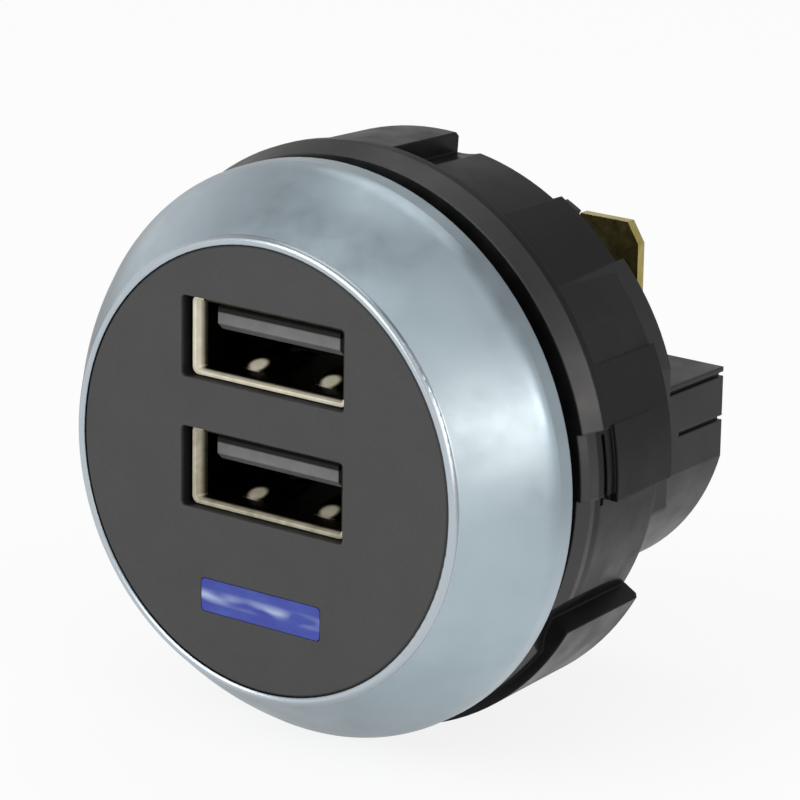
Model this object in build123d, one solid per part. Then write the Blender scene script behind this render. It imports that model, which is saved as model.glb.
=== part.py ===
from build123d import *
from math import cos, hypot, radians, sin
import os

# Panel socket for a vehicle with two USB outlets, in millimetres.
# The front looks along -Y and +Z is up. The panel's front face lies in the plane y = 0,
# so the bezel stands in front of it and the ring nut clamps from behind.
# Angles round the socket are counted from +X towards +Z, as seen from the front.

# Bezel
bezel_depth = 8.1
bezel_rim_length = 1.35
bezel_wall = 1.2
bezel_shoulder_width = 0.5
bezel_shoulder_length = 1.4
cone_width = 4.2
lip_width = 0.7
lip_set_back = 0.37
lip_stand = 0.12
cone_bulge = 0.16

# Face plate
face_margin = 2.5
face_thickness = 1.8
face_flange_width = 0.5
face_flange_thickness = 0.7
face_edge_round = 0.15

# USB outlets
upper_outlet_height = 8.95
outlet_pitch = 9.76
cutout_side_gap = 0.85
cutout_end_gap = 0.19
cutout_corner = 0.35
shell_width = 13.1
shell_height = 5.72
shell_sheet = 0.3
shell_corner = 0.55
mouth_recess = 0.8
mouth_flare = 0.45
mouth_flare_height = 0.09
mouth_flare_depth = 0.85
shell_leg_width = 1.8
tongue_side_gap = 0.7
tongue_roof_gap = 0.42
tongue_thickness = 1.84
tongue_recess = 1.1
tongue_nose = 0.5
tongue_block_length = 3.0
contact_width = 1.0
contact_thickness = 0.28
contact_places = (-3.5, -1.0, 1.0, 3.5)
contact_tip_gap = 0.9
finger_width = 2.0
finger_place = 3.3
finger_tip = 2.4
finger_length = 6.2
finger_rise = 0.75
finger_gap = 0.25

# Light window
light_drop = 5.16
light_width = 10.9
light_bar = 2.5
light_pipe_width = 5.0
light_flange_lip = 0.5
light_flange_thickness = 0.9

# Body
flange_cover = 1.3
flange_step = 1.7
flange_thickness = 2.4
front_tube_step = 0.4
front_tube_wall = 1.4
thread_end_gap = 3.75
body_wall = 2.1
bead_depth = 0.25
bead_place = 1.1

# Ears at the neck's rear edge, one set on each side, with a small tab above each ear
ear_start = -18.0
ear_end = 44.5
tab_start = 59.8
tab_end = 64.2
ear_step = 0.1
ear_flat_depth = 0.9

# Gasket and ring nut, with heights counted outwards from the neck
gasket_set_back = 0.9
gasket_thickness = 0.8
nut_front = 1.85
nut_length = 11.25
nut_bore_gap = 0.1
nut_edge = 0.35
hub_front_height = 2.6
hub_back_height = 1.5
high_floor_height = 2.0
hub_edge = 0.5
grip_start = 3.5
grip_front_height = 3.2
grip_back_height = 2.85
wing_angle = -62.0
wing_half_angle = 32.0
wing_rise = 0.25
arc_angle = 28.0
arc_half_angle = 30.8
thumb_flat_start = 24.2
thumb_flat_end = 40.0
thumb_flat_lean = 1.9
thumb_flat_back_height = 2.2
scoop_radius = 6.0
scoop_front_height = 1.9
scoop_back_height = 1.5

# Flange of the nut, and the springy tongue that its slit frees
rim_start = 230.0
rim_end = 12.4
rim_front_height = 2.95
rim_height = 3.7
rim_chamfer_back = 3.45
rim_back = 4.15
tongue_span = 13.4
tongue_land_height = 2.9
tongue_land_back = 5.4
slit_start = 11.2
slit_span = 14.2
slit_place = 4.3
slit_width = 0.42
slit_depth = 1.0

# Rear cap
cap_step = 0.4
cap_wall = 1.6
cap_flat_depth = 0.6
shelf_height = 2.7
shelf_thickness = 1.6
cap_gap = 0.1
bulkhead_thickness = 1.75
lid_groove_drop = 0.55
side_groove_drop = 4.0
side_groove_start = 4.75
groove_width = 0.35
groove_depth = 0.4
rail_width = 2.2
rail_thickness = 1.0

# Blade terminals
blade_width = 6.3
blade_thickness = 0.8
blade_height = 11.4
blade_place = 7.7
blade_set_back = 5.75
blade_nose_width = 1.0
blade_nose_height = 1.6
blade_hole_radius = 0.85
blade_hole_drop = 4.2
shank_width = 3.0

# Circuit boards
port_board_front = 6.4
port_board_thickness = 1.6
power_board_drop = 2.13
power_board_thickness = 1.2
power_board_edge = 4.0
power_board_tail = 0.75
power_board_gap = 1.0
board_gap = 0.2
pin_side = 0.64
pin_pitch = 2.54
pin_count = 4
header_side = 2.5
solder_reach = 0.8

# Parts on the boards
inductor_side = 8.4
inductor_height = 4.6
inductor_crown = 0.4
inductor_crown_radius = 3.36
inductor_corner = 1.4
inductor_gap = 0.5
input_can_radius = 2.5
input_can_height = 5.2
input_can_gap = 0.35
output_can_radius = 3.15
output_can_length = 6.2
output_can_place = 7.3
can_room = 2.0
can_base = 0.9
can_base_lip = 0.15
can_base_corner = 0.6
can_groove_place = 1.7
can_groove_depth = 0.25
can_groove_width = 0.7
chip_length = 4.9
chip_width = 3.9
chip_height = 1.5
chip_stand = 0.1
chip_lead = 0.95
chip_lead_width = 0.42
chip_lead_foot = 0.25
chip_lead_bend = 0.3
chip_lead_count = 4
chip_pitch = 1.27
chip_offset = 6.4
diode_size = (4.4, 3.6, 2.2)
diode_inset = 9.398
diode_offset = 11.0
fuse_size = (1.7, 3.4, 0.9)
fuse_inset = 3.798
fuse_offset = 9.4
led_width = 3.4
led_height = 2.4
led_depth = 1.6
led_gap = 0.15
led_cup_radius = 0.86
led_cup_depth = 0.48

clearance = 0.05
far = 40.0

# Stations and heights that follow from the ones above
face_front = -bezel_depth
face_back = face_front + face_thickness
cutout_width = shell_width + 2 * cutout_side_gap
cutout_height = shell_height + 2 * cutout_end_gap
tongue_width = shell_width - 2 * (shell_sheet + tongue_side_gap)
tongue_height = shell_height / 2 - shell_sheet - tongue_roof_gap - tongue_thickness / 2
mouth = face_front + mouth_recess
tongue_tip = mouth + tongue_recess
shell_back = port_board_front
port_board_back = port_board_front + port_board_thickness
outlet_heights = {"upper": upper_outlet_height, "lower": upper_outlet_height - outlet_pitch}
between_outlets = upper_outlet_height - outlet_pitch / 2
light_height = outlet_heights["lower"] - cutout_height / 2 - light_drop - light_bar / 2
power_board_top = outlet_heights["lower"] - shell_height / 2 - power_board_drop
power_board_bottom = power_board_top - power_board_thickness
power_board_front = port_board_back + board_gap
inductor_front = power_board_front + header_side + inductor_gap
input_can_side = 2 * (input_can_radius + can_base_lip)
input_can_front = inductor_front + inductor_side + input_can_gap
power_board_end = input_can_front + input_can_side + power_board_tail
cap_length = power_board_end + power_board_gap + cap_wall
collar_length = port_board_back + output_can_length + can_room + bulkhead_thickness
thread_length = collar_length - thread_end_gap
blade_station = collar_length + blade_set_back
blade_tip_height = shelf_height + blade_height
nut_back = nut_front + nut_length
blade_sides = {"positive": 1, "negative": -1}

# Radii that follow: the face holds the outlets, the bezel holds the face and covers the flange
face_radius = hypot(cutout_width / 2, upper_outlet_height + cutout_height / 2) + face_margin
lip_radius = face_radius + lip_width
bezel_radius = lip_radius + cone_width
flange_radius = bezel_radius - flange_cover
thread_radius = flange_radius - flange_step
body_bore = thread_radius - body_wall
front_tube_radius = face_radius + front_tube_step
gasket_radius = bezel_radius - gasket_set_back
cap_radius = body_bore - cap_step
cap_flat = cap_radius - cap_flat_depth
power_board_width = 2 * (cap_radius - power_board_edge)


def turned(*profile):
    """A solid turned about the socket's axis from points given as radius and station."""
    return revolve(make_face(Polyline(*profile, close=True)), Axis.Y)


def sector(start, span, *profile):
    """The part of a turned solid that lies below the angle start, over the angle span."""
    return Rot(0, -start, 0) * revolve(make_face(Polyline(*profile, close=True)), Axis.Y, span)


def slab(outline, front, back):
    """An outline seen from the front, made solid between two stations along the axis."""
    return extrude(Plane.XZ.offset(-back) * outline, back - front)


def ring(outer, inner, front, back):
    return slab(Circle(outer) - Circle(inner), front, back)


def block(width, length, height, x=0.0, y=0.0, z=0.0):
    """A box centred on x and y that stands on the height z."""
    return Pos(x, y, z + height / 2) * Box(width, length, height)


def around(radius, angle):
    return radius * cos(radians(angle)), radius * sin(radians(angle))


def wedge(start, end, radius=far):
    """A sector with its point on the axis."""
    middle = (start + end) / 2
    corners = [around(radius, start), around(radius, middle), around(radius, end)]
    return make_face(Polyline((0, 0), *corners, close=True))


def bezel_ring():
    """Conical trim ring that hides the body's flange and traps the face plate."""
    lip_station = face_front + lip_set_back
    rim_station = -bezel_rim_length
    bore = face_radius + clearance
    lip_inner = (bore, face_front)
    lip_outer = (lip_radius, lip_station)
    lip_crest = ((bore + lip_radius) / 2, face_front - lip_stand)
    rim = (bezel_radius, rim_station)
    shoulder = (bezel_radius - bezel_shoulder_width, rim_station - bezel_shoulder_length)
    shoulder_middle = (bezel_radius - bezel_shoulder_width / 4, rim_station - bezel_shoulder_length * 0.45)
    cone_middle = ((lip_radius + shoulder[0]) / 2 + cone_bulge, (lip_station + shoulder[1]) / 2 - cone_bulge)
    seat = flange_radius + clearance
    pocket = face_radius + face_flange_width + clearance
    bead = -bead_place
    outline = ThreePointArc(lip_inner, lip_crest, lip_outer)
    outline += ThreePointArc(lip_outer, cone_middle, shoulder)
    outline += ThreePointArc(shoulder, shoulder_middle, rim)
    outline += Polyline(
        rim, (bezel_radius, 0), (seat, 0),
        (seat, bead + bead_depth), (seat - bead_depth, bead), (seat, bead - bead_depth),
        (seat, -flange_thickness), (seat - bezel_wall, -flange_thickness),
        (front_tube_radius + 2 * clearance + face_flange_width, face_back + face_flange_thickness),
        (pocket, face_back), (pocket, face_back - face_flange_thickness),
        (bore, face_back - face_flange_thickness), lip_inner)
    return revolve(make_face(outline), Axis.Y)


def outlet_cutouts():
    opening = RectangleRounded(cutout_width, cutout_height, cutout_corner)
    return [Pos(0, height) * opening for height in outlet_heights.values()]


def front_face():
    """Round plate with the two outlet cut-outs and the slot for the light window."""
    flange_front = face_back - face_flange_thickness
    rounded = face_front + face_edge_round
    flange = face_radius + face_flange_width
    edge = (face_radius - face_edge_round, face_front)
    plate = turned((0, face_front), edge, (face_radius, rounded), (face_radius, flange_front),
                   (flange, flange_front), (flange, face_back), (0, face_back))
    for opening in outlet_cutouts():
        plate -= slab(opening, face_front - 1, face_back + 1)
    slot = RectangleRounded(light_width + 2 * clearance, light_bar + 2 * clearance, cutout_corner)
    return plate - slab(Pos(0, light_height) * slot, face_front - 1, face_back + 1)


def light_window():
    """Clear bar in the face plate with a pipe that leads back to the light."""
    centre = Pos(0, light_height)
    led_front = port_board_front - led_depth - led_gap
    flange_back = face_back + light_flange_thickness
    bar = slab(centre * RectangleRounded(light_width, light_bar, cutout_corner), face_front, face_back)
    flange_size = (light_width + 2 * light_flange_lip, light_bar + 2 * light_flange_lip)
    flange = slab(centre * Rectangle(*flange_size), face_back, flange_back)
    wide = Plane.XZ.offset(-flange_back) * centre * Rectangle(light_width - 1, light_bar)
    narrow = Plane.XZ.offset(-led_front) * centre * Rectangle(light_pipe_width, led_height)
    return bar + flange + loft([wide, narrow], ruled=True)


def main_body():
    """Flanged tube: its threaded neck goes through the panel and carries the ring nut."""
    bead = -bead_place
    groove = flange_radius - bead_depth
    outer = turned(
        (0, face_back), (front_tube_radius, face_back), (front_tube_radius, -flange_thickness),
        (flange_radius, -flange_thickness),
        (flange_radius, bead - bead_depth), (groove, bead), (flange_radius, bead + bead_depth),
        (flange_radius, 0), (thread_radius, 0), (thread_radius, thread_length), (0, thread_length))
    outer -= slab(Circle(front_tube_radius - front_tube_wall), face_back - 1, port_board_front)
    outer -= slab(Circle(body_bore), port_board_front, thread_length + 1)
    return outer + rear_ears()


def rear_ears():
    """What stands past the thread: an ear with a flat and a small tab on each side."""
    flat = 2 * (thread_radius - ear_flat_depth)
    band = Circle(thread_radius - ear_step) - Circle(body_bore)
    one_side = (wedge(ear_start, ear_end) + wedge(tab_start, tab_end)) & band & Rectangle(flat, 2 * far)
    return slab(one_side + mirror(one_side, Plane.YZ), thread_length, collar_length)


def panel_gasket():
    return ring(gasket_radius, thread_radius + clearance, 0, gasket_thickness)


def finger_scoop(angle):
    """A shallow trough along the foot of a wing's flank, running out at the rear edge."""
    def section(height, station):
        centre = around(thread_radius + height + scoop_radius, angle)
        return Plane.XZ.offset(-station) * Pos(*centre) * Circle(scoop_radius)

    return loft([section(scoop_front_height, nut_front - 1), section(scoop_back_height, nut_back + 1)])


def grip_sector(middle, half_angle, front=grip_start, rise=0.0):
    """A raised part of the nut's grip that tapers to a chamfered rear edge."""
    outer_front = thread_radius + grip_front_height + rise
    outer_back = thread_radius + grip_back_height + rise
    return sector(
        middle + half_angle, 2 * half_angle, (thread_radius, front), (outer_front, front),
        (outer_back, nut_back - nut_edge), (outer_back - nut_edge, nut_back), (thread_radius, nut_back))


def high_floor(half_turn):
    """The hub's floor between a wing and the arc below it, which tapers less than the rest."""
    start = wing_angle + 180 - wing_half_angle
    back = thread_radius + high_floor_height
    return sector(
        start + half_turn, start - arc_angle - arc_half_angle, (thread_radius, rim_back),
        (thread_radius + hub_front_height, rim_back), (back, nut_back), (thread_radius, nut_back))


def thumb_flat():
    """What is cut from an arc of the grip: a panel that sinks towards the rear, with one leaning side."""
    angles = (thumb_flat_start, (thumb_flat_start + thumb_flat_end) / 2, thumb_flat_end)
    lean_height = grip_back_height - thumb_flat_back_height

    def section(height, station):
        radius = thread_radius + height
        floor = [around(radius, angle) for angle in angles]
        top = around(radius + lean_height, thumb_flat_end + thumb_flat_lean)
        outer = [around(far, thumb_flat_end + thumb_flat_lean), around(far, thumb_flat_start)]
        return Plane.XZ.offset(-station) * make_face(Polyline(*floor, top, *outer, close=True))

    front, back = section(grip_front_height, grip_start), section(thumb_flat_back_height, nut_back)
    return loft([front, back], ruled=True)


def nut_rim():
    """The nut's flange: a chamfered rim over most of the turn, and a springy tongue below it."""
    front = thread_radius + rim_front_height
    outer = thread_radius + rim_height
    land = thread_radius + tongue_land_height
    slope = (outer - front) / (rim_chamfer_back - nut_front)
    rim = sector(rim_start, rim_start - rim_end, (thread_radius, nut_front), (front, nut_front),
                 (outer, rim_chamfer_back), (outer, rim_back), (thread_radius, rim_back))
    tongue = sector(rim_end, tongue_span, (thread_radius, nut_front), (land - slope, nut_front),
                    (land, nut_front + slope), (land, tongue_land_back), (thread_radius, tongue_land_back))
    slit_floor = land - slit_depth
    slit = sector(slit_start, slit_span, (slit_floor, slit_place - slit_width / 2),
                  (outer + 1, slit_place - slit_width / 2), (outer + 1, slit_place + slit_width / 2),
                  (slit_floor, slit_place + slit_width / 2))
    return rim + tongue, slit


def ring_nut():
    """Clamping nut with two wings for the fingers and two broad arcs between them."""
    hub = thread_radius + hub_front_height
    nut = turned(
        (0, nut_front), (hub - hub_edge, nut_front), (hub, nut_front + 2 * hub_edge), (hub, rim_back),
        (thread_radius + hub_back_height, nut_back), (0, nut_back))
    for half_turn in (0, 180):
        nut += high_floor(half_turn)
        for side in (-1, 1):
            nut -= finger_scoop(wing_angle + half_turn + side * wing_half_angle)
    for half_turn in (0, 180):
        nut += grip_sector(wing_angle + half_turn, wing_half_angle, rise=wing_rise)
    upper_half = (arc_angle + arc_half_angle - rim_end) / 2
    lower_half = arc_half_angle - upper_half
    nut += grip_sector(arc_angle + arc_half_angle - upper_half, upper_half)
    nut += grip_sector(arc_angle - arc_half_angle + lower_half, lower_half, tongue_land_back)
    nut += grip_sector(arc_angle + 180, arc_half_angle)
    nut -= thumb_flat()
    rim, slit = nut_rim()
    nut = nut + rim - slit
    return nut - slab(Circle(thread_radius + nut_bore_gap), nut_front - 1, nut_back + 1)


def cap_section(inset=0.0):
    """The rear block seen from behind: round below, flat at its sides and on top."""
    round_part = Circle(cap_radius - inset)
    side = cap_flat - inset
    top = shelf_height - (shelf_thickness if inset else 0)
    return round_part & Pos(0, (top - far) / 2) * Rectangle(2 * side, top + far)


def side_grooves():
    """Shallow seams along both sides of the rear block, the lower one shorter."""
    grooves = Part()
    for drop, start in ((lid_groove_drop, 0), (side_groove_drop, side_groove_start)):
        front = collar_length + start
        for side in (-1, 1):
            place = Pos(side * cap_flat, (front + cap_length) / 2, shelf_height - drop)
            grooves += place * Box(2 * groove_depth, cap_length - front, groove_width)
    return grooves


def rear_cap():
    """Plug that closes the body, with the round-bottomed block and the shelf for the blades."""
    plug_radius = body_bore - cap_gap
    plug = ring(plug_radius, plug_radius - cap_wall, port_board_back, collar_length)
    bulkhead = slab(Circle(plug_radius), collar_length - bulkhead_thickness, collar_length)
    outside = slab(cap_section(), collar_length - bulkhead_thickness, cap_length)
    inside = slab(cap_section(cap_wall), collar_length - bulkhead_thickness - 1, cap_length - cap_wall)
    cap = plug + bulkhead + outside - inside - side_grooves()
    rail_length = cap_length - collar_length
    rail_z = power_board_bottom - rail_thickness
    rails = Part()
    for side in (-1, 1):
        x = side * (power_board_width / 2 - rail_width / 2 + 1)
        y = collar_length + rail_length / 2
        rails += block(rail_width + 2, rail_length, rail_thickness, x, y, rail_z)
    cap += rails & slab(cap_section(cap_wall / 2), collar_length, cap_length)
    for side in blade_sides.values():
        slot = (shank_width + 4 * clearance, blade_thickness + 4 * clearance, 3 * shelf_thickness)
        cap -= Pos(side * blade_place, blade_station, shelf_height) * Box(*slot)
    return cap


def blade_terminal(side):
    """Push-on tab that stands on the shelf, with a shank down to the power board."""
    half = blade_width / 2
    root = power_board_bottom - solder_reach
    narrow = shank_width / 2
    nose = blade_tip_height - blade_nose_height
    outline = Polyline(
        (-narrow, root), (narrow, root), (narrow, shelf_height), (half, shelf_height), (half, nose),
        (half - blade_nose_width, blade_tip_height), (blade_nose_width - half, blade_tip_height),
        (-half, nose), (-half, shelf_height), (-narrow, shelf_height), close=True)
    tab = make_face(outline) - Pos(0, blade_tip_height - blade_hole_drop) * Circle(blade_hole_radius)
    front = blade_station - blade_thickness / 2
    return slab(Pos(side * blade_place, 0) * tab, front, front + blade_thickness)


def shell_box(grow_width, grow_height, inset, station):
    """The shell's outline at one station, inset by the sheet for its inside."""
    width = shell_width + 2 * grow_width - 2 * inset
    height = shell_height + 2 * grow_height - 2 * inset
    return Plane.XZ.offset(-station) * RectangleRounded(width, height, shell_corner - inset)


def spring_finger(x):
    """A strip of the shell's floor that arches up to hold the plug."""
    floor = shell_sheet - shell_height / 2
    tip = mouth + finger_tip
    root = tip + finger_length
    apex = (tip + finger_length * 0.4, floor + finger_rise)
    drop = shell_sheet
    upper = ThreePointArc((root, floor), apex, (tip, floor))
    lower = ThreePointArc((tip, floor - drop), (apex[0], apex[1] - drop), (root, floor - drop))
    sides = Line((tip, floor), (tip, floor - drop)) + Line((root, floor - drop), (root, floor))
    strip = make_face(upper + sides + lower)
    return Pos(x, 0, 0) * extrude(Plane.YZ * strip, finger_width / 2, both=True)


def usb_shell(height):
    """Folded metal shell with a flared mouth, two spring fingers and two solder legs."""
    throat = mouth + mouth_flare_depth
    outer = loft([shell_box(mouth_flare, mouth_flare_height, 0, mouth),
                  shell_box(0, 0, 0, throat)], ruled=True)
    inner = loft([shell_box(mouth_flare, mouth_flare_height, shell_sheet, mouth),
                  shell_box(0, 0, shell_sheet, throat)], ruled=True)
    outer += extrude(shell_box(0, 0, 0, shell_back), shell_back - throat)
    inner += extrude(shell_box(0, 0, shell_sheet, shell_back), shell_back - throat)
    shell = outer - inner
    tip = mouth + finger_tip
    for x in (-finger_place, finger_place):
        window = Box(finger_width + 2 * finger_gap, finger_length + finger_gap, 3 * shell_sheet)
        middle = tip + (finger_length - finger_gap) / 2
        shell -= Pos(x, middle, (shell_sheet - shell_height) / 2) * window
        shell += spring_finger(x)
    for side in (-1, 1):
        leg_length = port_board_thickness + solder_reach + 1
        leg_x = side * (shell_width - shell_sheet) / 2
        leg = Box(shell_sheet, leg_length, shell_leg_width)
        shell += Pos(leg_x, shell_back + leg_length / 2 - 1, 0) * leg
    return Pos(0, 0, height) * shell


def contact_strip(place, grow=0.0):
    """One contact along the underside of the tongue, with its tail through the board."""
    front = tongue_tip + contact_tip_gap - grow
    back = port_board_back + solder_reach
    top = tongue_height - tongue_thickness / 2 + contact_thickness + grow
    bottom = top - contact_thickness - 2 * grow
    middle = ((front + back) / 2, (top + bottom) / 2)
    size = (contact_width + 2 * grow, back - front + 2 * grow, top - bottom)
    return Pos(place, middle[0], middle[1]) * Box(*size)


def usb_tongue(height):
    """Plastic tongue and the block that holds it at the back of the shell."""
    under = tongue_height - tongue_thickness / 2
    over = tongue_height + tongue_thickness / 2
    nose = tongue_nose
    block_front = shell_back - tongue_block_length
    side_view = Polyline(
        (tongue_tip, under + nose), (tongue_tip + nose, under), (block_front + 1, under),
        (block_front + 1, over), (tongue_tip + nose / 3, over), (tongue_tip, over - nose / 3), close=True)
    tongue = extrude(Plane.YZ * make_face(side_view), tongue_width / 2, both=True)
    inside = 2 * (shell_sheet + clearance)
    outline = RectangleRounded(shell_width - inside, shell_height - inside, shell_corner / 2)
    holder = tongue + slab(outline, block_front, shell_back)
    for place in contact_places:
        holder -= contact_strip(place, grow=clearance / 2)
    return Pos(0, 0, height) * holder


def port_board():
    """Round board that carries both outlets and the light."""
    board = slab(Circle(body_bore - cap_gap), port_board_front, port_board_back)
    middle = (port_board_front + port_board_back) / 2
    depth = 2 * port_board_thickness
    strip_height = tongue_height - (tongue_thickness - contact_thickness) / 2
    for height in outlet_heights.values():
        for place in contact_places:
            hole = Box(contact_width + 4 * clearance, depth, contact_thickness + 4 * clearance)
            board -= Pos(place, middle, height + strip_height) * hole
        for side in (-1, 1):
            leg_x = side * (shell_width - shell_sheet) / 2
            slot = Box(shell_sheet + 4 * clearance, depth, shell_leg_width + 4 * clearance)
            board -= Pos(leg_x, middle, height) * slot
    for x in pin_places():
        hole = Box(pin_side + 4 * clearance, depth, pin_side + 4 * clearance)
        board -= Pos(x, middle, power_board_top + header_side / 2) * hole
    return board


def pin_places():
    return [(n - (pin_count - 1) / 2) * pin_pitch for n in range(pin_count)]


def power_board():
    """Flat board behind the outlets with the converter and the blades' shanks."""
    length = power_board_end - power_board_front
    middle = (power_board_front + power_board_end) / 2
    board = block(power_board_width, length, power_board_thickness, 0, middle, power_board_bottom)
    for side in blade_sides.values():
        slot = Box(shank_width + 4 * clearance, blade_thickness + 4 * clearance, 4 * power_board_thickness)
        board -= Pos(side * blade_place, blade_station, power_board_bottom) * slot
    for x in pin_places():
        hole = Box(pin_side + 4 * clearance, pin_side + 4 * clearance, 4 * power_board_thickness)
        board -= Pos(x, power_board_front + header_side / 2, power_board_bottom) * hole
    return board


def board_header():
    """Right-angle pin strip that joins the two boards."""
    front = port_board_front - solder_reach
    corner = power_board_front + header_side / 2
    foot = power_board_bottom - solder_reach
    level = power_board_top + header_side / 2
    strip = block(pin_pitch * pin_count, header_side, header_side, 0, corner, power_board_top)
    for x in pin_places():
        strip += Pos(x, (front + corner) / 2, level) * Box(pin_side, corner - front, pin_side)
        strip += Pos(x, corner, (foot + level) / 2) * Box(pin_side, pin_side, level - foot)
    return strip


def inductor():
    """Shielded coil: a square block with round corners and a round top."""
    outline = RectangleRounded(inductor_side, inductor_side, inductor_corner)
    body = extrude(outline, inductor_height - inductor_crown)
    body += extrude(Circle(inductor_crown_radius), inductor_height)
    return Pos(0, inductor_front + inductor_side / 2, power_board_top) * body


def can(radius, length):
    """Aluminium can capacitor with its crimped foot and a square base."""
    side = 2 * (radius + can_base_lip)
    base = extrude(RectangleRounded(side, side, can_base_corner), can_base)
    neck = radius - can_groove_depth
    profile = Polyline((0, 0), (radius, 0), (radius, can_groove_place - can_groove_width / 2),
                       (neck, can_groove_place), (radius, can_groove_place + can_groove_width / 2),
                       (radius, length), (0, length), close=True)
    return base + revolve(Plane.XZ * make_face(profile), Axis.Z)


def input_capacitor():
    place = Pos(0, input_can_front + input_can_side / 2, power_board_top)
    return place * can(input_can_radius, input_can_height)


def output_capacitor(side):
    upright = Plane(origin=(side * output_can_place, port_board_back, between_outlets), z_dir=(0, 1, 0))
    return upright * can(output_can_radius, output_can_length)


def small_chip():
    """Eight-lead chip standing on z = 0."""
    chip = block(chip_width, chip_length, chip_height - chip_stand, z=chip_stand)
    for side in (-1, 1):
        foot = side * (chip_width + chip_lead) / 2
        bend = side * (chip_width + chip_lead_bend) / 2
        for n in range(chip_lead_count):
            y = (n - (chip_lead_count - 1) / 2) * chip_pitch
            chip += block(chip_lead, chip_lead_width, chip_lead_foot, foot, y)
            chip += block(chip_lead_bend, chip_lead_width, chip_height / 2, bend, y)
    return chip


def converter_chip():
    return Pos(0, power_board_front + chip_offset, power_board_bottom) * Rot(180, 0, 0) * small_chip()


def charge_chip():
    place = Plane(origin=(0, port_board_back, between_outlets), z_dir=(0, 1, 0))
    return place * small_chip()


def catch_diode():
    x = diode_inset - cap_radius
    return Pos(x, power_board_front + diode_offset, power_board_bottom - diode_size[2] / 2) * Box(*diode_size)


def input_fuse():
    x = power_board_width / 2 - fuse_inset
    return Pos(x, power_board_front + fuse_offset, power_board_top + fuse_size[2] / 2) * Box(*fuse_size)


def light_led():
    """Small light on the front of the port board, right behind the light pipe."""
    front = port_board_front - led_depth
    package = slab(Pos(0, light_height) * Rectangle(led_width, led_height), front, port_board_front)
    return package - slab(Pos(0, light_height) * Circle(led_cup_radius), front - 1, front + led_cup_depth)


pieces = {
    "bezel_ring": bezel_ring(),
    "front_face": front_face(),
    "light_window": light_window(),
    "main_body": main_body(),
    "panel_gasket": panel_gasket(),
    "ring_nut": ring_nut(),
    "rear_cap": rear_cap(),
    "port_board": port_board(),
    "power_board": power_board(),
    "board_header": board_header(),
    "inductor": inductor(),
    "input_capacitor": input_capacitor(),
    "output_capacitor_left": output_capacitor(-1),
    "output_capacitor_right": output_capacitor(1),
    "converter_chip": converter_chip(),
    "charge_chip": charge_chip(),
    "catch_diode": catch_diode(),
    "input_fuse": input_fuse(),
    "light_led": light_led(),
}
for name, side in blade_sides.items():
    pieces[f"blade_{name}"] = blade_terminal(side)
for name, height in outlet_heights.items():
    pieces[f"usb_shell_{name}"] = usb_shell(height)
    pieces[f"usb_tongue_{name}"] = usb_tongue(height)
    for number, place in enumerate(contact_places, 1):
        pieces[f"usb_contact_{name}_{number}"] = Pos(0, 0, height) * contact_strip(place)

os.makedirs("parts", exist_ok=True)
for name, piece in pieces.items():
    export_step(piece, f"parts/{name}.step")
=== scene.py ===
import bmesh
import bpy
import math
from mathutils import Matrix, Vector


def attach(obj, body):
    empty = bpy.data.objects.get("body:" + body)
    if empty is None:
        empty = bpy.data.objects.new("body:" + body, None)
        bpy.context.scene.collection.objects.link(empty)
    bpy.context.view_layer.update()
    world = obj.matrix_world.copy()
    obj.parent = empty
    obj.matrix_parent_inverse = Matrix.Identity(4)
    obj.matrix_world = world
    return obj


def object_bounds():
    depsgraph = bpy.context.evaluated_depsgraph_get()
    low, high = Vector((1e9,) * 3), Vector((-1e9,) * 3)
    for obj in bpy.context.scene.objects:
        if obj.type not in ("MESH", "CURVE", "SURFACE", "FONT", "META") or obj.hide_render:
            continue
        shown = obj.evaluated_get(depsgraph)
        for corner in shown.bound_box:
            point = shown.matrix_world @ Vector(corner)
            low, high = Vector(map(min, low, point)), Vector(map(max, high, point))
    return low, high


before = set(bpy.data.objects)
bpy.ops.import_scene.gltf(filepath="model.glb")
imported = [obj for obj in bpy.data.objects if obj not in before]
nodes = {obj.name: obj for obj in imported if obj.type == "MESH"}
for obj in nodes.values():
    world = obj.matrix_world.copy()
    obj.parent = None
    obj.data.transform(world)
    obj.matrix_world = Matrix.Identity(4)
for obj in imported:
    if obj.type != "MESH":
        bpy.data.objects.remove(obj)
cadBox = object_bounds()
mm = 0.001
print("frame loaded:", len(nodes), "nodes")

# a Mix node's sockets share their names, so its colours and its plain numbers are picked by their places
colourA, colourB, mixedColour = 6, 7, 2
numberA, numberB, mixedNumber = 2, 3, 0


def linearColour(hexCode):
    # an sRGB hex code as the linear numbers that a socket takes
    channels = [int(hexCode[i:i + 2], 16) / 255 for i in (1, 3, 5)]
    return [c / 12.92 if c <= 0.04045 else ((c + 0.055) / 1.055) ** 2.4 for c in channels] + [1]


def addNode(tree, kind, settings, links):
    # each setting is one of the node's own, or else the value of the input with that name or number
    node = tree.nodes.new(kind)
    for name, value in settings.items():
        if not isinstance(name, int) and hasattr(node, name):
            setattr(node, name, value)
        else:
            node.inputs[name].default_value = value
    for name, source in links.items():
        tree.links.new(source, node.inputs[name])
    return node


def openFinish(material):
    # a material's nodes, the shader, and the place on the piece in metres
    tree = material.node_tree
    place = addNode(tree, "ShaderNodeTexCoord", {}, {}).outputs["Object"]
    return tree, tree.nodes["Principled BSDF"], place


def startFinish(name, shaderSettings):
    material = bpy.data.materials.new(name)
    material.use_nodes = True
    tree, shader, place = openFinish(material)
    for socket, value in shaderSettings.items():
        shader.inputs[socket].default_value = value
    return material, tree, shader, place


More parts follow.
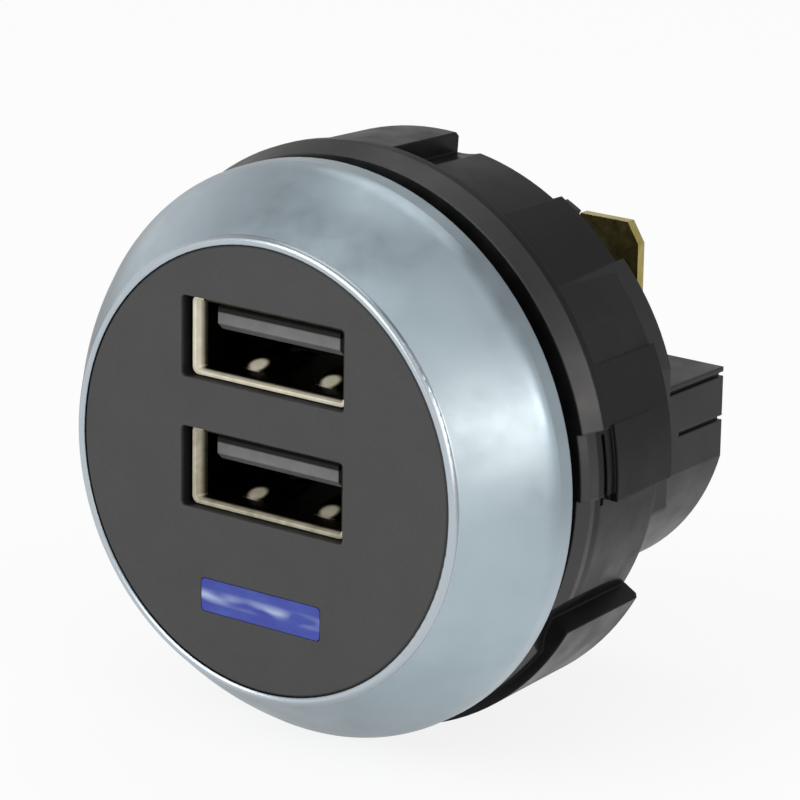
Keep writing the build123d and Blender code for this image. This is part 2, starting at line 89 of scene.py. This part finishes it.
def grainBump(tree, shader, place, look):
    # softEdge is the small radius that light finds on every edge. Real grain on such parts is mostly under
    # 0.1 mm, too fine to show, so each look's grain is drawn coarser than that
    noise = addNode(tree, "ShaderNodeTexNoise", {
        "Scale": 1 / (look["grain"] * mm), "Detail": 2.0, "Roughness": 0.6}, {"Vector": place})
    edge = addNode(tree, "ShaderNodeBevel", {"samples": 4, "Radius": look["softEdge"] * mm}, {})
    bump = addNode(tree, "ShaderNodeBump", {"Strength": 1.0, "Distance": look["grainHeight"] * mm},
                   {"Height": noise.outputs["Fac"], "Normal": edge.outputs["Normal"]})
    tree.links.new(bump.outputs["Normal"], shader.inputs["Normal"])
    return noise.outputs["Fac"]


def cloud(tree, place, size, span, detail=3.0):
    # a soft uneven field, size in mm. Most of the noise lies between 0.3 and 0.7, and that fills the span
    noise = addNode(tree, "ShaderNodeTexNoise", {
        "Scale": 1 / (size * mm), "Detail": detail, "Roughness": 0.55}, {"Vector": place})
    low, high = span
    spread = addNode(tree, "ShaderNodeMapRange", {
        "From Min": 0.3, "From Max": 0.7, "To Min": low, "To Max": high}, {"Value": noise.outputs["Fac"]})
    return spread.outputs["Result"]


def patchyColour(tree, place, size, first, second, detail=3.0):
    # a colour that wanders softly between two hex codes, size in mm
    patch = cloud(tree, place, size, (0.0, 1.0), detail)
    mixed = addNode(tree, "ShaderNodeMix", {
        "data_type": "RGBA", colourA: linearColour(first), colourB: linearColour(second)}, {0: patch})
    return mixed.outputs[mixedColour]


def dress(material, *names):
    # the CAD nodes keep their meshes, so each object's own slot takes the material
    for name in names:
        for slot in nodes[name].material_slots:
            slot.link = "OBJECT"
            slot.material = material


# camera at the photograph's angle: place and clipStart in mm, angles in degrees
viewpoint = {"place": (189.2, -244.9, 95.9), "turn": 36.76, "height": 16.59, "roll": 0.94, "lens": 200.0,
             "sensor": 36.0, "clipStart": 10.0}

cameraData = bpy.data.cameras.new("photoView")
cameraData.lens = viewpoint["lens"]
cameraData.sensor_width = viewpoint["sensor"]
cameraData.clip_start = viewpoint["clipStart"] * mm
camera = bpy.data.objects.new("photoView", cameraData)
bpy.context.scene.collection.objects.link(camera)
camera.matrix_world = (
    Matrix.Translation(Vector(viewpoint["place"]) * mm)
    @ Matrix.Rotation(math.radians(viewpoint["turn"]), 4, "Z")
    @ Matrix.Rotation(math.radians(90 - viewpoint["height"]), 4, "X")
    @ Matrix.Rotation(math.radians(viewpoint["roll"]), 4, "Z"))
bpy.context.scene.camera = camera
print("camera placed")

# in every look, sizes and places along an axis are in mm, and a rough of two values is a span

# bezel: turned aluminium, blasted and anodised. A pale blue-grey satin, with the lip smoother and painted
# paler, a painted highlight along its edge
bezelLook = {"tint": "#A4B3BC", "tintWorn": "#AEBDC5", "patch": 9.0, "rough": (0.29, 0.45), "roughPatch": 2.6,
             "lipHighlight": "#B4BEC5", "lipRough": 0.25, "lipStation": -7.68, "coat": 0.5, "coatRough": 0.3,
             "grain": 0.22, "grainHeight": 0.004, "softEdge": 0.12}


def anodisedAluminium(look):
    material, tree, shader, place = startFinish("anodisedAluminium", {
        "Metallic": 1.0, "Coat Weight": look["coat"], "Coat Roughness": look["coatRough"]})
    body = patchyColour(tree, place, look["patch"], look["tint"], look["tintWorn"])
    bodyRough = cloud(tree, place, look["roughPatch"], look["rough"])
    # everything in front of lipStation is the lip
    axes = addNode(tree, "ShaderNodeSeparateXYZ", {}, {"Vector": place})
    lip = addNode(tree, "ShaderNodeMath", {"operation": "LESS_THAN", 1: look["lipStation"] * mm},
                  {0: axes.outputs["Y"]})
    # the lip's paler tint is a painted highlight
    tint = addNode(tree, "ShaderNodeMix", {"data_type": "RGBA", colourB: linearColour(look["lipHighlight"])},
                   {0: lip.outputs[0], colourA: body})
    tree.links.new(tint.outputs[mixedColour], shader.inputs["Base Color"])
    rough = addNode(tree, "ShaderNodeMix", {"data_type": "FLOAT", numberB: look["lipRough"]},
                    {0: lip.outputs[0], numberA: bodyRough})
    tree.links.new(rough.outputs[mixedNumber], shader.inputs["Roughness"])
    grainBump(tree, shader, place, look)
    return material


dress(anodisedAluminium(bezelLook), "bezel_ring")
print("bezel dressed")

# face: ABS from a spark-eroded mould. A flat dark grey with a fine even grain, and painted shade that turns
# the cut-outs' walls black
faceLook = {"dark": "#363637", "light": "#414141", "wallShade": "#0B0B0B", "front": -8.1, "wallStart": 0.05,
            "wallFull": 0.35, "sheen": 0.4, "rough": (0.57, 0.68), "roughPatch": 4.0,
            "grain": 0.28, "grainHeight": 0.012, "softEdge": 0.12}


def sparkErodedAbs(look):
    material, tree, shader, place = startFinish("sparkErodedAbs", {
        "IOR": 1.53, "Specular IOR Level": look["sheen"]})
    speck = grainBump(tree, shader, place, look)
    grey = addNode(tree, "ShaderNodeMix", {
        "data_type": "RGBA", colourA: linearColour(look["dark"]), colourB: linearColour(look["light"])},
        {0: speck})
    # painted shade: the walls of the cut-outs turn black from wallStart to wallFull behind the front
    axes = addNode(tree, "ShaderNodeSeparateXYZ", {}, {"Vector": place})
    depth = addNode(tree, "ShaderNodeMapRange", {
        "From Min": (look["front"] + look["wallStart"]) * mm,
        "From Max": (look["front"] + look["wallFull"]) * mm}, {"Value": axes.outputs["Y"]})
    tint = addNode(tree, "ShaderNodeMix", {"data_type": "RGBA", colourB: linearColour(look["wallShade"])},
                   {0: depth.outputs["Result"], colourA: grey.outputs[mixedColour]})
    tree.links.new(tint.outputs[mixedColour], shader.inputs["Base Color"])
    tree.links.new(cloud(tree, place, look["roughPatch"], look["rough"]), shader.inputs["Roughness"])
    return material


dress(sparkErodedAbs(faceLook), "front_face")
print("face dressed")

# light bar: blue polycarbonate, moulded smooth, with the light behind it. Deep blue, brighter in patches that
# stretch draws out along the bar, and with pale glints, painted highlights, in a band around glintMiddle.
# glintSpan starts below 0, which leaves gaps between the glints
windowLook = {"deep": "#08128A", "bright": "#2C449C", "patch": 2.2, "stretch": (0.5, 1.0, 1.2), "rough": 0.24,
              "paintedGlint": "#B4C2DC", "glintMiddle": -10.27, "glintHalf": 0.6, "glintPatch": 1.1,
              "glintSpan": (-0.4, 0.75), "glowLevel": 0.06}


def bluePolycarbonate(look):
    material, tree, shader, place = startFinish("bluePolycarbonate", {
        "IOR": 1.58, "Roughness": look["rough"], "Emission Strength": look["glowLevel"]})
    stretched = addNode(tree, "ShaderNodeMapping", {"Scale": look["stretch"]}, {"Vector": place})
    streak = stretched.outputs["Vector"]
    body = patchyColour(tree, streak, look["patch"], look["deep"], look["bright"], detail=4.0)
    axes = addNode(tree, "ShaderNodeSeparateXYZ", {}, {"Vector": place})
    drop = addNode(tree, "ShaderNodeMath", {"operation": "SUBTRACT", 1: look["glintMiddle"] * mm},
                   {0: axes.outputs["Z"]})
    off = addNode(tree, "ShaderNodeMath", {"operation": "ABSOLUTE"}, {0: drop.outputs[0]})
    line = addNode(tree, "ShaderNodeMapRange", {
        "From Min": 0.0, "From Max": look["glintHalf"] * mm, "To Min": 1.0, "To Max": 0.0},
        {"Value": off.outputs[0]})
    broken = cloud(tree, streak, look["glintPatch"], look["glintSpan"], detail=0.0)
    # painted highlights: pale glints in a broken band along the bar's middle
    paintedGlint = addNode(tree, "ShaderNodeMath", {"operation": "MULTIPLY", "use_clamp": True},
                    {0: line.outputs["Result"], 1: broken})
    tint = addNode(tree, "ShaderNodeMix", {"data_type": "RGBA", colourB: linearColour(look["paintedGlint"])},
                   {0: paintedGlint.outputs[0], colourA: body})
    tree.links.new(tint.outputs[mixedColour], shader.inputs["Base Color"])
    tree.links.new(tint.outputs[mixedColour], shader.inputs["Emission Color"])
    return material


dress(bluePolycarbonate(windowLook), "light_window")
print("light bar dressed")

# housing and rear block: glass-filled nylon, moulded. Black with a low sheen that lifts where light grazes it
nylonLook = {"deep": "#0A0A0B", "worn": "#121214", "patch": 6.0, "rough": (0.34, 0.48), "roughPatch": 3.0,
             "sheen": 0.54, "grain": 0.35, "grainHeight": 0.006, "softEdge": 0.22}
# nut: the same nylon, a darker and duller batch, with a shinier band on the slope at the front of its flange,
# up to bandBack
nutLook = {**nylonLook, "deep": "#070708", "worn": "#0E0E10", "rough": (0.32, 0.46), "sheen": 0.24,
           "bandSheen": 0.68, "bandBack": 3.45, "bandFade": 0.1}


def glassFilledNylon(name, look):
    material, tree, shader, place = startFinish(name, {"IOR": 1.53, "Specular IOR Level": look["sheen"]})
    tree.links.new(patchyColour(tree, place, look["patch"], look["deep"], look["worn"], detail=5.0),
                   shader.inputs["Base Color"])
    tree.links.new(cloud(tree, place, look["roughPatch"], look["rough"]), shader.inputs["Roughness"])
    grainBump(tree, shader, place, look)
    return material


def nutNylon(look):
    material = glassFilledNylon("nutNylon", look)
    tree, shader, place = openFinish(material)
    axes = addNode(tree, "ShaderNodeSeparateXYZ", {}, {"Vector": place})
    sheen = addNode(tree, "ShaderNodeMapRange", {
        "From Min": (look["bandBack"] - look["bandFade"]) * mm, "From Max": look["bandBack"] * mm,
        "To Min": look["bandSheen"], "To Max": look["sheen"]}, {"Value": axes.outputs["Y"]})
    tree.links.new(sheen.outputs["Result"], shader.inputs["Specular IOR Level"])
    return material


nylon = glassFilledNylon("glassFilledNylon", nylonLook)
dress(nylon, "main_body", "rear_cap")
dress(nutNylon(nutLook), "ring_nut")

# gasket: nitrile rubber, moulded. Black and dull, with a little grey bloom
rubberLook = {"deep": "#191919", "bloom": "#292929", "patch": 3.0, "rough": 0.75, "sheen": 0.2,
              "grain": 0.4, "grainHeight": 0.01, "softEdge": 0.15}


def nitrileRubber(look):
    material, tree, shader, place = startFinish("nitrileRubber", {
        "IOR": 1.52, "Specular IOR Level": look["sheen"], "Roughness": look["rough"]})
    tree.links.new(patchyColour(tree, place, look["patch"], look["deep"], look["bloom"]),
                   shader.inputs["Base Color"])
    grainBump(tree, shader, place, look)
    return material


dress(nitrileRubber(rubberLook), "panel_gasket")
print("black mouldings dressed")

# thread on the neck, a ridge that climbs round it from under the gasket to the rear edge, in mm
threadShape = {"core": 18.35, "crest": 18.72, "rootHalf": 0.62, "crestHalf": 0.2, "pitch": 1.75,
               "start": 2.2, "end": 13.5, "stepsPerTurn": 72}


def neckThread(shape):
    bm = bmesh.new()
    profile = [(shape["core"], -shape["rootHalf"]), (shape["crest"], -shape["crestHalf"]),
               (shape["crest"], shape["crestHalf"]), (shape["core"], shape["rootHalf"])]
    corners = [bm.verts.new((radius * mm, (shape["start"] + along) * mm, 0)) for radius, along in profile]
    section = bm.faces.new(corners)
    length = shape["end"] - shape["start"]
    turns = length / shape["pitch"]
    steps = round(turns * shape["stepsPerTurn"])
    bmesh.ops.spin(bm, geom=[section, *section.edges, *corners], cent=(0, 0, 0), axis=(0, 1, 0),
                   dvec=(0, length / steps * mm, 0), angle=math.radians(360 * turns), steps=steps,
                   use_merge=False, use_duplicate=False)
    bmesh.ops.recalc_face_normals(bm, faces=bm.faces)
    mesh = bpy.data.meshes.new("neck_thread")
    bm.to_mesh(mesh)
    bm.free()
    piece = bpy.data.objects.new("neck_thread", mesh)
    bpy.context.scene.collection.objects.link(piece)
    mesh.materials.append(nylon)
    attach(piece, "root")


neckThread(threadShape)
print("neck thread made")

# outlet shells: nickel-plated steel, folded. Dark olive, with painted highlights on the mouth's left and
# lower edges and in a spot on each spring finger. The painted highlights are mostly matt, so they look pale
# from all sides. floorDrop and fingerDrop go down from the outlet's middle. fingerPlace is a spot's X and Y
shellLook = {"darkOlive": "#3C392C", "shade": "#26241C", "patch": 1.2, "rough": 0.27, "paintedHighlightMetallic": 0.15,
             "mouthEnd": -6.6, "mouthFade": 0.4, "leftEdge": -6.0, "floorDrop": 2.35, "fingerDrop": 1.7,
             "fingerPlace": (3.3, -4.3), "fingerSpot": 0.9, "fingerCore": 0.54,
             "grain": 0.5, "grainHeight": 0.0012, "softEdge": 0.08}
# the height of each outlet's middle, and the colours of its painted highlights, dimmer on the lower one
outlets = {"upper": {"height": 8.95, "bright": "#F6F1DE", "worn": "#DFD7BC"},
           "lower": {"height": -0.81, "bright": "#D5CFBA", "worn": "#A8A189"}}


def nickelWithPaintedHighlights(name, look):
    material, tree, shader, place = startFinish(name, {"Roughness": look["rough"]})
    axes = addNode(tree, "ShaderNodeSeparateXYZ", {}, {"Vector": place})
    # painted highlights on the mouth's left and lower edges
    left = addNode(tree, "ShaderNodeMath", {"operation": "LESS_THAN", 1: look["leftEdge"] * mm},
                   {0: axes.outputs["X"]})
    low = addNode(tree, "ShaderNodeMath", {
        "operation": "LESS_THAN", 1: (look["height"] - look["floorDrop"]) * mm}, {0: axes.outputs["Z"]})
    side = addNode(tree, "ShaderNodeMath", {"operation": "MAXIMUM"}, {0: left.outputs[0], 1: low.outputs[0]})
    front = addNode(tree, "ShaderNodeMapRange", {
        "From Min": (look["mouthEnd"] - look["mouthFade"]) * mm, "From Max": look["mouthEnd"] * mm,
        "To Min": 1.0, "To Max": 0.0}, {"Value": axes.outputs["Y"]})
    edge = addNode(tree, "ShaderNodeMath", {"operation": "MULTIPLY"},
                   {0: side.outputs[0], 1: front.outputs[0]})
    # painted highlight spots on the fingers, one on each side of the middle
    across = addNode(tree, "ShaderNodeMath", {"operation": "ABSOLUTE"}, {0: axes.outputs["X"]})
    flat = addNode(tree, "ShaderNodeCombineXYZ", {}, {"X": across.outputs[0], "Y": axes.outputs["Y"]})
    x, y = look["fingerPlace"]
    reach = addNode(tree, "ShaderNodeVectorMath", {"operation": "DISTANCE", 1: (x * mm, y * mm, 0)},
                    {0: flat.outputs[0]})
    spot = addNode(tree, "ShaderNodeMapRange", {
        "From Min": look["fingerCore"] * mm, "From Max": look["fingerSpot"] * mm,
        "To Min": 1.0, "To Max": 0.0}, {"Value": reach.outputs["Value"]})
    floor = addNode(tree, "ShaderNodeMath", {
        "operation": "LESS_THAN", 1: (look["height"] - look["fingerDrop"]) * mm}, {0: axes.outputs["Z"]})
    finger = addNode(tree, "ShaderNodeMath", {"operation": "MULTIPLY"},
                     {0: spot.outputs[0], 1: floor.outputs[0]})
    # the painted highlights: the mouth's edges and the finger spots
    paintedHighlight = addNode(tree, "ShaderNodeMath", {"operation": "MAXIMUM"},
                     {0: edge.outputs[0], 1: finger.outputs[0]})
    tint = addNode(tree, "ShaderNodeMix", {"data_type": "RGBA"}, {
        0: paintedHighlight.outputs[0],
        colourA: patchyColour(tree, place, look["patch"], look["shade"], look["darkOlive"]),
        colourB: patchyColour(tree, place, look["patch"], look["worn"], look["bright"])})
    tree.links.new(tint.outputs[mixedColour], shader.inputs["Base Color"])
    metal = addNode(tree, "ShaderNodeMapRange", {"To Min": 1.0, "To Max": look["paintedHighlightMetallic"]},
                    {"Value": paintedHighlight.outputs[0]})
    tree.links.new(metal.outputs["Result"], shader.inputs["Metallic"])
    grainBump(tree, shader, place, look)
    return material


for level, outlet in outlets.items():
    dress(nickelWithPaintedHighlights("nickelWithPaintedHighlights_" + level, {**shellLook, **outlet}), "usb_shell_" + level)

# bare metals: rolled or drawn, nearly smooth, with faint patches
sheetLook = {"patch": 1.6, "roughPatch": 0.7, "grain": 0.5, "grainHeight": 0.0015, "softEdge": 0.08}
# terminals: brass strip, stamped. Olive gold
bladeLook = {**sheetLook, "bright": "#D6C785", "dull": "#B5A45F", "rough": (0.25, 0.4)}
# contacts: gold flash over brass. Clear yellow and the smoothest
contactLook = {**sheetLook, "bright": "#E2C27A", "dull": "#C9A558", "rough": (0.15, 0.3)}
# board pins: tinned brass. Pale and dull
pinLook = {**sheetLook, "bright": "#C9C7BE", "dull": "#A8A69C", "rough": (0.3, 0.45)}
# capacitor cans: bare drawn aluminium. Silver
canLook = {**sheetLook, "bright": "#CFD1D3", "dull": "#B3B6B9", "rough": (0.25, 0.4)}


def metalSheet(name, look):
    material, tree, shader, place = startFinish(name, {"Metallic": 1.0})
    tree.links.new(patchyColour(tree, place, look["patch"], look["dull"], look["bright"]),
                   shader.inputs["Base Color"])
    tree.links.new(cloud(tree, place, look["roughPatch"], look["rough"]), shader.inputs["Roughness"])
    grainBump(tree, shader, place, look)
    return material


dress(metalSheet("stampedBrass", bladeLook), "blade_positive", "blade_negative")
dress(metalSheet("goldFlash", contactLook), *[n for n in nodes if n.startswith("usb_contact")])
dress(metalSheet("tinnedPins", pinLook), "board_header")
dress(metalSheet("drawnAluminium", canLook),
      "input_capacitor", "output_capacitor_left", "output_capacitor_right")
print("metal parts dressed")

# small mouldings: fine-grained, with faint patches
mouldLook = {"patch": 1.2, "grain": 0.25, "grainHeight": 0.005, "softEdge": 0.1}
# tongues: liquid crystal polymer. Dark grey and matt. The last topFade below topRise, over the outlet's
# middle, darkens to topShade, because the shell's roof shades it
tongueLook = {**mouldLook, "deep": "#555555", "worn": "#636364", "rough": 0.55,
              "topRise": 1.7, "topFade": 0.12, "topShade": 0.12}
# chips, fuse and diode: epoxy. Dull black
epoxyLook = {**mouldLook, "deep": "#161618", "worn": "#232325", "rough": 0.6}
# coil: pressed ferrite powder. Dull grey
ferriteLook = {**mouldLook, "deep": "#2A2A2C", "worn": "#3A3A3C", "rough": 0.7}
# boards: glass epoxy under green solder mask. Smooth
maskLook = {**mouldLook, "deep": "#0E4A26", "worn": "#14592F", "rough": 0.3}
# light: white epoxy body
ledLook = {**mouldLook, "deep": "#D5D3C8", "worn": "#E4E2D8", "rough": 0.35}


def mouldedPlastic(name, look):
    material, tree, shader, place = startFinish(name, {"IOR": 1.55, "Roughness": look["rough"]})
    tree.links.new(patchyColour(tree, place, look["patch"], look["deep"], look["worn"]),
                   shader.inputs["Base Color"])
    grainBump(tree, shader, place, look)
    return material


def tongueFront(name, look, height):
    material = mouldedPlastic(name, look)
    tree, shader, place = openFinish(material)
    axes = addNode(tree, "ShaderNodeSeparateXYZ", {}, {"Vector": place})
    top = (height + look["topRise"]) * mm
    lit = addNode(tree, "ShaderNodeMapRange", {
        "From Min": top - look["topFade"] * mm, "From Max": top, "To Min": 1.0, "To Max": look["topShade"]},
        {"Value": axes.outputs["Z"]})
    tint = shader.inputs["Base Color"].links[0].from_socket
    shaded = addNode(tree, "ShaderNodeVectorMath", {"operation": "SCALE"},
                     {0: tint, "Scale": lit.outputs["Result"]})
    tree.links.new(shaded.outputs["Vector"], shader.inputs["Base Color"])
    tree.links.new(lit.outputs["Result"], shader.inputs["Specular IOR Level"])
    return material


for level, outlet in outlets.items():
    dress(tongueFront("crystalPolymer_" + level, tongueLook, outlet["height"]), "usb_tongue_" + level)
dress(mouldedPlastic("chipEpoxy", epoxyLook), "converter_chip", "charge_chip", "catch_diode", "input_fuse")
dress(mouldedPlastic("pressedFerrite", ferriteLook), "inductor")
dress(mouldedPlastic("solderMask", maskLook), "port_board", "power_board")
dress(mouldedPlastic("ledEpoxy", ledLook), "light_led")
print("inner parts dressed")

# floor: white paper. The camera and reflections see it plain white by the share in glow, and the rest of it
# takes the shadow. Reflections also see painted shade under the object, up to the distances in shadeReach
# from its middle, and two painted dark patches behind it, on the right and on the left. All lengths are in
# metres
floorSetup = {"size": 6.0, "tint": "#F4F4F4", "rough": 0.9, "glow": 0.86, "shade": 0.25,
              "shadeReach": (0.016, 0.03),
              # the painted dark patches on the floor, which only reflections see
              "flags": [{"towards": (0.6, 0.8, 0), "fade": (0.03, 0.075), "leaves": 0.6},
                        {"towards": (-0.6, 0.8, 0), "fade": (0.04, 0.12), "leaves": 0.35}]}
# room: a white backdrop that turns, over the heights in rise, into a grey ceiling that only reflections see.
# fill is the even light on the object. Black flags behind on the right and on the left keep the nut's grips
# and top dark: fade is how nearly a direction points at the flag where it starts and where it is full
roomSetup = {"fill": 0.55, "ceiling": 0.42, "rise": (0.1, 0.75),
             "flags": [{"towards": (0.40, 0.84, 0.37), "fade": (0.66, 0.9), "leaves": 0.6},
                       {"towards": (-0.5, 0.83, 0.25), "fade": (0.8, 0.95), "leaves": 0.68}]}


def whereSeen(tree):
    # 1 for rays from the camera, from a reflection or through glass, 0 for those that only carry light
    rays = addNode(tree, "ShaderNodeLightPath", {}, {})
    seen = rays.outputs["Is Camera Ray"]
    for bounce in ("Is Glossy Ray", "Is Transmission Ray"):
        either = addNode(tree, "ShaderNodeMath", {"operation": "MAXIMUM"}, {0: seen, 1: rays.outputs[bounce]})
        seen = either.outputs[0]
    return seen, rays.outputs["Is Camera Ray"]


def dimByFlags(tree, place, brightness, flags):
    # each flag comes in softly over its fade, and leaves that share of the white
    for flag in flags:
        along = addNode(tree, "ShaderNodeVectorMath", {"operation": "DOT_PRODUCT", 1: flag["towards"]},
                        {0: place})
        start, full = flag["fade"]
        left = addNode(tree, "ShaderNodeMapRange", {
            "From Min": start, "From Max": full, "To Min": 1.0, "To Max": flag["leaves"]},
            {"Value": along.outputs["Value"]})
        dimmed = addNode(tree, "ShaderNodeMath", {"operation": "MULTIPLY"},
                         {0: brightness, 1: left.outputs["Result"]})
        brightness = dimmed.outputs[0]
    return brightness


def studioFloor(setup):
    bm = bmesh.new()
    bmesh.ops.create_grid(bm, x_segments=1, y_segments=1, size=setup["size"] / 2)
    bmesh.ops.translate(bm, verts=bm.verts, vec=(0, 0, cadBox[0][2]))
    mesh = bpy.data.meshes.new("floor")
    bm.to_mesh(mesh)
    bm.free()
    floor = bpy.data.objects.new("floor", mesh)
    bpy.context.scene.collection.objects.link(floor)
    # paper has no gloss
    material, tree, shader, place = startFinish("whitePaperFloor", {
        "Base Color": linearColour(setup["tint"]), "Roughness": setup["rough"], "Specular IOR Level": 0.0})
    seen, byCamera = whereSeen(tree)
    level = addNode(tree, "ShaderNodeMath", {"operation": "MULTIPLY", 1: setup["glow"]}, {0: seen})
    near, far = setup["shadeReach"]
    reach = addNode(tree, "ShaderNodeVectorMath", {"operation": "LENGTH"}, {0: place})
    shaded = addNode(tree, "ShaderNodeMapRange", {
        "From Min": near, "From Max": far, "To Min": setup["shade"]}, {"Value": reach.outputs["Value"]})
    # painted shade under the object and painted dark patches, for reflections only
    dimmed = dimByFlags(tree, place, shaded.outputs["Result"], setup["flags"])
    strength = addNode(tree, "ShaderNodeMath", {"operation": "MAXIMUM"}, {0: dimmed, 1: byCamera})
    white = addNode(tree, "ShaderNodeEmission", {"Color": (1, 1, 1, 1)}, {"Strength": strength.outputs[0]})
    mixed = addNode(tree, "ShaderNodeMixShader", {}, {
        0: level.outputs[0], 1: shader.outputs["BSDF"], 2: white.outputs["Emission"]})
    tree.links.new(mixed.outputs["Shader"], tree.nodes["Material Output"].inputs["Surface"])
    mesh.materials.append(material)


def studioRoom(setup):
    world = bpy.data.worlds.new("studioWorld")
    bpy.context.scene.world = world
    world.use_nodes = True
    tree = world.node_tree
    background = tree.nodes["Background"]
    background.inputs["Color"].default_value = (1, 1, 1, 1)
    seen, byCamera = whereSeen(tree)
    place = addNode(tree, "ShaderNodeTexCoord", {}, {}).outputs["Generated"]
    axes = addNode(tree, "ShaderNodeSeparateXYZ", {}, {"Vector": place})
    low, high = setup["rise"]
    room = addNode(tree, "ShaderNodeMapRange", {
        "From Min": low, "From Max": high, "To Min": 1.0, "To Max": setup["ceiling"]},
        {"Value": axes.outputs["Z"]})
    dimmed = dimByFlags(tree, place, room.outputs["Result"], setup["flags"])
    backdrop = addNode(tree, "ShaderNodeMath", {"operation": "MAXIMUM"}, {0: dimmed, 1: byCamera})
    level = addNode(tree, "ShaderNodeMapRange", {"To Min": setup["fill"]},
                    {"Value": seen, "To Max": backdrop.outputs[0]})
    tree.links.new(level.outputs["Result"], background.inputs["Strength"])


# soft boxes: direction from the object, distance and size in metres, and brightness beside white
softBoxes = {
    "sideBox": {"towards": (0.92, -0.35, 0.11), "distance": 0.55, "size": 0.42, "brightness": 1.4,
                "tint": (1.0, 0.89, 0.81)},
    "bandBox": {"towards": (0.94, 0.16, 0.27), "distance": 0.55, "size": 0.18, "brightness": 2.4},
    "fillBox": {"towards": (0.50, -0.36, 0.79), "distance": 0.80, "size": 0.60, "brightness": 0.4},
    "frontBox": {"towards": (-0.25, -0.80, 0.55), "distance": 0.80, "size": 0.60, "brightness": 2.4},
    "topBox": {"towards": (-0.15, 0.35, 0.92), "distance": 0.80, "size": 0.60, "brightness": 0.85},
}


def softBox(name, box):
    lamp = bpy.data.lights.new(name, "AREA")
    lamp.shape = "SQUARE"
    lamp.size = box["size"]
    lamp.color = box.get("tint", (1, 1, 1))
    lamp.energy = math.pi * box["size"] ** 2 * box["brightness"]  # the watts that make a panel this bright
    holder = bpy.data.objects.new(name, lamp)
    bpy.context.scene.collection.objects.link(holder)
    away = Vector(box["towards"]).normalized()
    holder.location = away * box["distance"]
    holder.rotation_euler = away.to_track_quat("Z", "Y").to_euler()


studioFloor(floorSetup)
studioRoom(roomSetup)
for boxName, box in softBoxes.items():
    softBox(boxName, box)
bpy.context.scene.view_settings.view_transform = "Standard"
print("studio lit")
